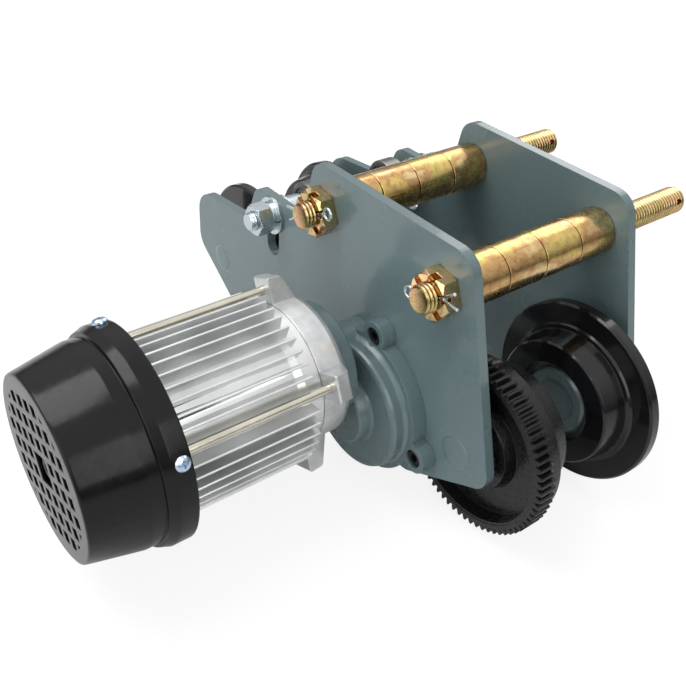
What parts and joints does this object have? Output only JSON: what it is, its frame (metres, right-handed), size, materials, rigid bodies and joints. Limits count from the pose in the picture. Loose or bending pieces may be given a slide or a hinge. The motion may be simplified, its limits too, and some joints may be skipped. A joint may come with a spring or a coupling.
{
  "type": "motorized beam trolley",
  "caption": "Motor driven beam trolley with flanged wheels between two side plates, suspension bolts and a finned motor.",
  "frame": {"origin": "on the line of the wheel axles, midway between the two axles and midway between the side plates, in the middle of the beam's web", "axes": "+X along the beam towards the end with the driven wheel, +Y across the beam from the motor side to the plain side, +Z from the wheels towards the suspension bolts, as the trolley stands in the picture"},
  "size_m": [0.35, 0.3865, 0.1755],
  "materials": {
    "grey_enamel": "glossy grey enamel",
    "yellow_zinc": "yellow passivated zinc",
    "bright_steel": "bright zinc",
    "bare_steel": "machined, lightly oiled",
    "pale_zinc": "pale zinc",
    "black_steel": "black oxide",
    "black_iron": "black enamel on cast iron",
    "cast_aluminium": "dull as cast and extruded",
    "winding": "varnished windings on laminated steel",
    "black_plastic": "semi gloss, moulded"
  },
  "bodies": {
    "frame": {"plate_drive": "grey_enamel", "plate_idle": "grey_enamel", "suspension_bolt_left": "yellow_zinc", "suspension_bolt_right": "yellow_zinc", "spacer_left_a": "yellow_zinc", "spacer_left_b": "yellow_zinc", "spacer_left_c": "yellow_zinc", "spacer_left_d": "yellow_zinc", "spacer_right_a": "yellow_zinc", "spacer_right_b": "yellow_zinc", "spacer_right_c": "yellow_zinc", "spacer_right_d": "yellow_zinc", "nut_left_near": "yellow_zinc", "nut_right_near": "yellow_zinc", "nut_left_far": "yellow_zinc", "nut_right_far": "yellow_zinc", "cotter_left": "bright_steel", "cotter_right": "bright_steel", "axle_geared": "bare_steel", "axle_near": "bare_steel", "axle_far_right": "bare_steel", "axle_far_left": "bare_steel", "gearbox_housing": "grey_enamel", "gearbox_screws": "black_steel", "output_bearings": "bare_steel", "drive_shield": "cast_aluminium", "finned_body": "cast_aluminium", "stator_core": "winding", "rear_shield": "cast_aluminium", "tie_rods": "pale_zinc", "motor_bearings": "bare_steel", "fan_cover": "black_plastic", "cover_screws": "bright_steel"},
    "wheel_body_geared": {"wheel_geared": "black_iron", "bearing_geared": "bare_steel", "cap_geared": "grey_enamel"},
    "wheel_body_near": {"wheel_near": "black_iron", "bearing_near": "bare_steel", "cap_near": "grey_enamel"},
    "wheel_body_far_right": {"wheel_far_right": "black_iron", "bearing_far_right": "bare_steel", "cap_far_right": "grey_enamel"},
    "wheel_body_far_left": {"wheel_far_left": "black_iron", "bearing_far_left": "bare_steel", "cap_far_left": "grey_enamel"},
    "output": {"output_shaft": "bare_steel", "reduction_gear": "bare_steel"},
    "rotor": {"rotor_shaft": "bare_steel", "rotor_core": "bare_steel", "fan": "black_plastic"},
    "carrier_near": {"roller_stud_near": "bright_steel", "roller_nut_near": "bright_steel"},
    "roller_body_near": {"roller_near": "bare_steel"},
    "carrier_far": {"roller_stud_far": "bright_steel", "roller_nut_far": "bright_steel"},
    "roller_body_far": {"roller_far": "bare_steel"}
  },
  "joints": [
    {"name": "spin_geared", "type": "hinge", "parent": "frame", "child": "wheel_body_geared", "pos_m": [0.1225, -0.029, 0], "axis": [0, 1, 0], "continuous": true},
    {"name": "spin_near", "type": "hinge", "parent": "frame", "child": "wheel_body_near", "pos_m": [-0.1225, -0.029, 0], "axis": [0, 1, 0], "continuous": true},
    {"name": "spin_far_right", "type": "hinge", "parent": "frame", "child": "wheel_body_far_right", "pos_m": [0.1225, 0.029, 0], "axis": [0, 1, 0], "continuous": true},
    {"name": "spin_far_left", "type": "hinge", "parent": "frame", "child": "wheel_body_far_left", "pos_m": [-0.1225, 0.029, 0], "axis": [0, 1, 0], "continuous": true},
    {"name": "spin_output", "type": "hinge", "parent": "frame", "child": "output", "pos_m": [0.05362, -0.0706, -0.004], "axis": [0, 1, 0], "continuous": true},
    {"name": "spin_rotor", "type": "hinge", "parent": "frame", "child": "rotor", "pos_m": [0.03687, -0.154, 0.02443], "axis": [0, 1, 0], "continuous": true},
    {"name": "adjust_roller_near", "type": "slide", "parent": "frame", "child": "carrier_near", "axis": [0, 0, 1], "range_m": [-0.022, 0]},
    {"name": "spin_roller_near", "type": "hinge", "parent": "carrier_near", "child": "roller_body_near", "pos_m": [-0.057, -0.032, 0.0645], "axis": [0, 1, 0], "continuous": true},
    {"name": "adjust_roller_far", "type": "slide", "parent": "frame", "child": "carrier_far", "axis": [0, 0, 1], "range_m": [-0.022, 0]},
    {"name": "spin_roller_far", "type": "hinge", "parent": "carrier_far", "child": "roller_body_far", "pos_m": [-0.057, 0.032, 0.0645], "axis": [0, 1, 0], "continuous": true}
  ],
  "couplings": [
    {"joint": "spin_output", "follows": "spin_geared", "ratio": -3},
    {"joint": "spin_rotor", "follows": "spin_geared", "ratio": 13.5}
  ]
}
